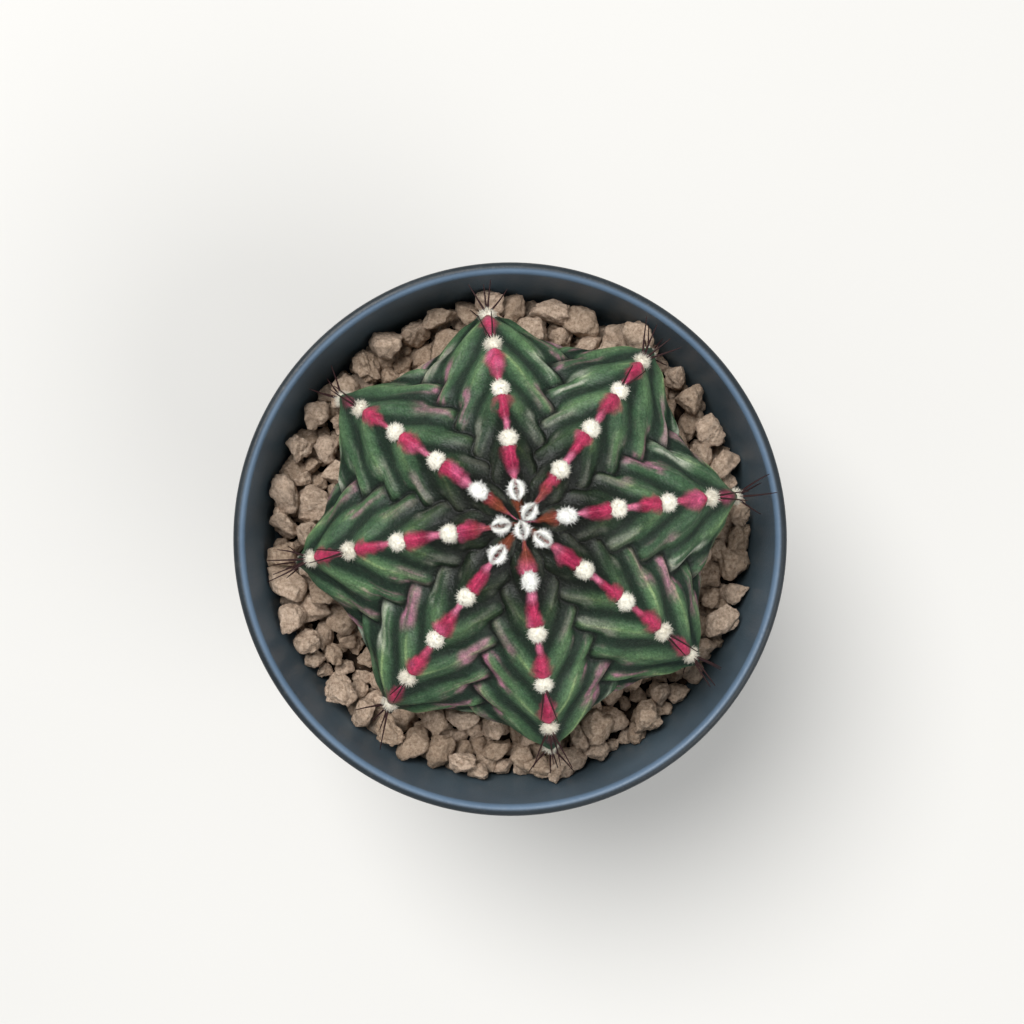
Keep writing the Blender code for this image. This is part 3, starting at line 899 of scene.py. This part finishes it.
def make_spines(rib, material):
    """The dark spines of one rib's outer areoles, curving out and up."""
    rng = np.random.default_rng(500 + rib)
    parts = []
    first = FIRST_SPINY + (FIRST_NUMBERS[rib] - FIRST_SPINY) % RIB_COUNT
    for number in range(first, TUFT_COUNT, RIB_COUNT):
        _, seat, along, across, up = areole_seat(number)
        count, length = (2, 5.0 * MM) if number < FIRST_FULL_SPINES else (4, 6.2 * MM)
        for i in range(count):
            fan = (i - (count - 1) / 2) * math.radians(24) + rng.normal(0, 0.1)
            lift = math.radians(38 if i % 2 else 22) + rng.normal(0, 0.12)
            direction = (
                along * math.cos(fan) * math.cos(lift)
                + across * math.sin(fan) * math.cos(lift)
                + up * math.sin(lift)
            )
            reach = length * (0.75 + 0.4 * rng.random())
            bend = (up * 0.16 + across * rng.normal(0, 0.05)) * reach
            parts.append(
                tuft_tubes(
                    (seat + up * 0.5 * MM)[None], direction[None], np.array((reach,)),
                    np.array((0.22 * MM,)), bend[None], sides=8, steps=8, taper=0.7,
                )
            )
    vertices, faces, depth = joined(parts)
    obj = mesh_object(f"spines_rib{rib + 1}", vertices, faces, material)
    add_attribute(obj, "depth", depth)
    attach(obj, "root")


# ---------------------------------------------------------------- pumice

BED_TOP = DRESSING_TOP - 4.0 * MM
BED_CLEARANCE = 0.3 * MM
STONE_CLEARANCE = 0.05 * MM
STONE_PASSES = 4
LOOSE_STONES = 400
FILL_SECTORS = 6
COARSE_BELOW = DRESSING_TOP - 3.0 * MM  # stones lower than this hardly show
SETTLE_STEPS = 420
SINK_STEP = 0.10 * MM
SINK_END = 500  # the step at which the sinking would come to a stop
NESTING = 0.97  # rough stones lie a little closer than balls of their size
STONE_CUTS = 9
STONE_NAMES = sorted(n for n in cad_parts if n.startswith("pumice_stone"))


def plant_limit(azimuth, height):
    """The plant's outer radius round its own axis, at an azimuth and a height above the foot."""
    below = np.clip((PLANT_PLACE[2] - height) / UNDERSIDE_HEIGHT, 0.0, math.sin(UNDERSIDE_END))
    angle = np.arcsin(below)
    ring = CROWN_RINGS + UNDERSIDE_RINGS * angle / UNDERSIDE_END
    turns = ((FIRST_RIB_AZIMUTH - azimuth) / TURN * RIB_COUNT) % 1.0
    across = 1 - np.abs(1 - 2 * np.minimum(turns, 1 - turns))
    depth = furrow_depth(ring) * (1 - (1 - across) ** RIB_SHARPNESS)
    return PLANT_RADIUS * np.cos(angle) - depth


def stone_frames():
    """Centre, axes and half lengths of each stone that the frame has."""
    found = []
    for name in STONE_NAMES:
        points = np.array([v.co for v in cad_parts[name].data.vertices])
        centre = (points.max(axis=0) + points.min(axis=0)) / 2
        _, axes = np.linalg.eigh(np.cov((points - centre).T))
        axes = axes.T
        if np.linalg.det(axes) < 0:
            axes[0] = -axes[0]
        spread = (points - centre) @ axes.T
        found.append((centre, axes, (spread.max(axis=0) - spread.min(axis=0)) / 2))
    return found


def settle(radii, fixed_places, fixed_radii, rng):
    """Loose stones as balls that sink into the ring between plant and pot until they rest."""
    count = len(radii)
    azimuth = rng.random(count) * TURN
    start = 30 * MM + 9 * MM * np.sqrt(rng.random(count))
    layer = BED_TOP + radii + rng.random(count) * 9 * MM
    places = np.stack((start * np.cos(azimuth), start * np.sin(azimuth), layer), -1)
    for step in range(SETTLE_STEPS):
        places[:, 2] -= SINK_STEP * (1 - step / SINK_END)
        for _ in range(2):
            gap = places[:, None] - places[None]
            distance = np.linalg.norm(gap, axis=-1) + np.eye(count)
            overlap = np.clip((radii[:, None] + radii[None]) * NESTING - distance, 0, None)
            np.fill_diagonal(overlap, 0)
            places += 0.5 * (gap / distance[..., None] * overlap[..., None]).sum(axis=1) * 0.7
            gap = places[:, None] - fixed_places[None]
            distance = np.linalg.norm(gap, axis=-1) + 1e-9
            overlap = np.clip(radii[:, None] + fixed_radii[None] - distance, 0, None)
            places += (gap / distance[..., None] * overlap[..., None]).sum(axis=1)
            spread = np.hypot(places[:, 0], places[:, 1])
            limit = inner_radius(places[:, 2]) - radii * NESTING
            places[:, :2] *= np.minimum(1.0, limit / spread)[:, None]
            beside = places[:, :2] - PLANT_PLACE[:2]
            spread = np.hypot(beside[:, 0], beside[:, 1])
            bearing = np.arctan2(beside[:, 1], beside[:, 0])
            limit = plant_limit(bearing, places[:, 2]) + radii * 0.9
            beside *= np.maximum(1.0, limit / spread)[:, None]
            places[:, :2] = PLANT_PLACE[:2] + beside
            places[:, 2] = np.maximum(places[:, 2], BED_TOP + radii * 0.8)
    return places


def stone_shape(level, seed, half_lengths):
    """A rough lump with flattened sides, its pits and knobs real down to a third of a mm."""
    ball, faces = unit_sphere(level)
    rng = np.random.default_rng(seed)
    cuts = rng.normal(size=(STONE_CUTS, 3))
    cuts /= np.linalg.norm(cuts, axis=1, keepdims=True)
    reach = 0.50 + 0.32 * rng.random(STONE_CUTS)
    along = ball @ cuts.T
    shrink = np.min(np.where(along > reach, reach / np.maximum(along, 1e-6), 1.0), axis=1)
    shape = ball * (0.03 + 0.97 * shrink)[:, None]
    size = float(np.mean(half_lengths))
    coarse = rough_noise(ball * 1.7 + seed * 3.1, seed, 2)
    knobs = noise(ball * size / (0.9 * MM) + seed * 1.7, seed + 5)
    pits = noise(ball * size / (0.45 * MM) + seed * 2.3, seed + 6)
    swell = 1 + 0.10 * coarse + 0.30 * MM / size * knobs + 0.20 * MM / size * pits
    shape = shape * swell[:, None]
    low, high = shape.min(axis=0), shape.max(axis=0)
    return (shape - (low + high) / 2) / ((high - low) / 2) * half_lengths, faces


def kept_inside(vertices):
    """A stone moved toward the pot's axis until it clears the wall."""
    moved = vertices.copy()
    for _ in range(STONE_PASSES):
        spread = np.hypot(moved[:, 0], moved[:, 1])
        past = float(np.max(spread - inner_radius(moved[:, 2]))) + STONE_CLEARANCE
        if past > 0:
            middle = moved[:, :2].mean(axis=0)
            moved[:, :2] -= middle / np.linalg.norm(middle) * past
    return moved


def random_axes(rng):
    axes, _ = np.linalg.qr(rng.normal(size=(3, 3)))
    return axes


def make_stones(material):
    """The frame's own stones in fine form, and the loose ones settled round them."""
    frames = stone_frames()
    for i, (name, (centre, axes, half_lengths)) in enumerate(zip(STONE_NAMES, frames)):
        vertices, faces = stone_shape(5, 70 + i, half_lengths * 1.06)
        obj = mesh_object(name + "_fine", vertices @ axes + centre, faces, material)
        tone = 0.5 + 0.5 * math.sin(i * 2.4)
        add_attribute(obj, "tone", np.full(len(vertices), tone))
        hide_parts(name)
        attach(obj, "root")
    rng = np.random.default_rng(8)
    radii = (1.2 + 1.8 * rng.random(LOOSE_STONES) ** 1.5) * MM
    fixed_places = np.array([centre for centre, _, _ in frames])
    fixed_radii = np.array([half_lengths.mean() for _, _, half_lengths in frames])
    places = settle(radii, fixed_places, fixed_radii, rng)
    groups = [[] for _ in range(FILL_SECTORS)]
    for i, (place, radius) in enumerate(zip(places, radii)):
        shown = place[2] > COARSE_BELOW
        stretch = np.array((1.0, 1.0, 1.0)) + (rng.random(3) - 0.5) * 0.56
        half_lengths = radius * stretch * 1.08
        vertices, faces = stone_shape(4 if shown else 2, 200 + i, half_lengths)
        vertices = kept_inside(vertices @ random_axes(rng) + place)
        tone = np.full(len(vertices), rng.random())
        bearing = math.atan2(place[1], place[0]) % TURN
        sector = int(bearing / TURN * FILL_SECTORS) % FILL_SECTORS
        groups[sector].append((vertices, faces, tone))
    for i, group in enumerate(groups):
        vertices, faces, tone = joined(group)
        obj = mesh_object(f"pumice_fill_{i + 1}", vertices, faces, material)
        add_attribute(obj, "tone", tone)
        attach(obj, "root")


def make_bed(material):
    """The bottom of the dressing, as seen between stones: a closed ring of dark grit."""
    rings = 60
    around = 360
    azimuth = np.arange(around) * TURN / around
    share = np.linspace(0, 1, rings)
    outer = float(inner_radius(BED_TOP - SHOULDER_HEIGHT)) - BED_CLEARANCE
    inner = 8 * MM
    radius = inner + (outer - inner) * share
    radius, azimuth = np.meshgrid(radius, azimuth, indexing="ij")
    flat = np.stack((radius * np.cos(azimuth), radius * np.sin(azimuth), radius * 0), -1)
    height = BED_TOP - 0.8 * MM + 0.7 * MM * rough_noise(flat / (1.8 * MM), 41)
    top = np.stack((flat[..., 0], flat[..., 1], height), -1)
    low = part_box("pumice_dressing")[0].z
    bottom = np.stack((flat[..., 0], flat[..., 1], np.full(radius.shape, low)), -1)
    bottom[..., :2] *= (float(inner_radius(low)) - BED_CLEARANCE) / outer
    loop = np.concatenate((top, bottom[::-1]), axis=0)
    rows = loop.shape[0]
    index = np.arange(rows * around).reshape(rows, around)
    beside = np.roll(index, -1, axis=1)
    below = np.roll(index, -1, axis=0)
    diagonal = np.roll(beside, -1, axis=0)
    faces = np.stack((index, below, diagonal, beside), -1).reshape(-1, 4).tolist()
    obj = mesh_object("pumice_bed", loop.reshape(-1, 3), faces, material)
    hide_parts("pumice_dressing")
    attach(obj, "root")


# ---------------------------------------------------------------- studio


def add_area_light(name, place, target, size, watts):
    light = bpy.data.lights.new(name, "AREA")
    light.shape = "DISK"
    light.size = size
    light.energy = watts
    obj = bpy.data.objects.new(name, light)
    obj.location = place
    obj.rotation_euler = (Vector(target) - Vector(place)).to_track_quat("-Z", "Y").to_euler()
    bpy.context.scene.collection.objects.link(obj)


def make_studio():
    floor = mesh_object(
        "floor", [(-9, -9, 0), (9, -9, 0), (9, 9, 0), (-9, 9, 0)], [(0, 1, 2, 3)],
        floor_material(), smooth_shade=False,
    )
    middle = (0, 0, POT_HEIGHT)
    add_area_light("key", (-0.3, 0.4, 1.0), middle, 0.6, 13)
    add_area_light("fill", (0.6, -0.4, 0.8), middle, 0.7, 5)
    world = bpy.data.worlds.new("studio")
    bpy.context.scene.world = world
    world.use_nodes = True
    background = world.node_tree.nodes["Background"]
    background.inputs["Color"].default_value = (0.92, 0.96, 1.0, 1.0)
    background.inputs["Strength"].default_value = 0.45
    view = bpy.context.scene.view_settings
    view.view_transform = "Standard"
    view.look = "None"


def make_camera():
    data = bpy.data.cameras.new("camera")
    data.lens_unit = "FOV"
    data.angle = FIELD_OF_VIEW
    data.clip_start = 0.005
    camera = bpy.data.objects.new("camera", data)
    camera.location = (CAMERA_X, CAMERA_Y, POT_HEIGHT + CAMERA_ABOVE_RIM)
    camera.rotation_euler = (0, 0, 0)
    bpy.context.scene.collection.objects.link(camera)
    bpy.context.scene.camera = camera


def set_material(node_name, material):
    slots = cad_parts[node_name].data.materials
    slots.clear()
    slots.append(material)


make_camera()
make_studio()
pot = make_pot(pot_material())
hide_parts("pot")
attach(pot, "root")
skin = make_skin(skin_material())
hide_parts("cactus_stem")
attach(skin, "root")
# Each wool's second colour is its painted shade deep in the tuft.
wool = {
    "young": wool_material("wool_young", srgb(246, 245, 240), srgb(92, 86, 78)),
    "grown": wool_material("wool_grown", srgb(238, 233, 218), srgb(146, 137, 116)),
    "old": wool_material("wool_old", srgb(226, 219, 202), srgb(120, 110, 94)),
}
for number in range(TUFT_COUNT):
    make_areole(number, wool)
dark_spine = spine_material()
for rib in range(RIB_COUNT):
    make_spines(rib, dark_spine)
pumice = pumice_material()
make_stones(pumice)
soil = soil_material()
make_bed(soil)
set_material("potting_mix", soil)
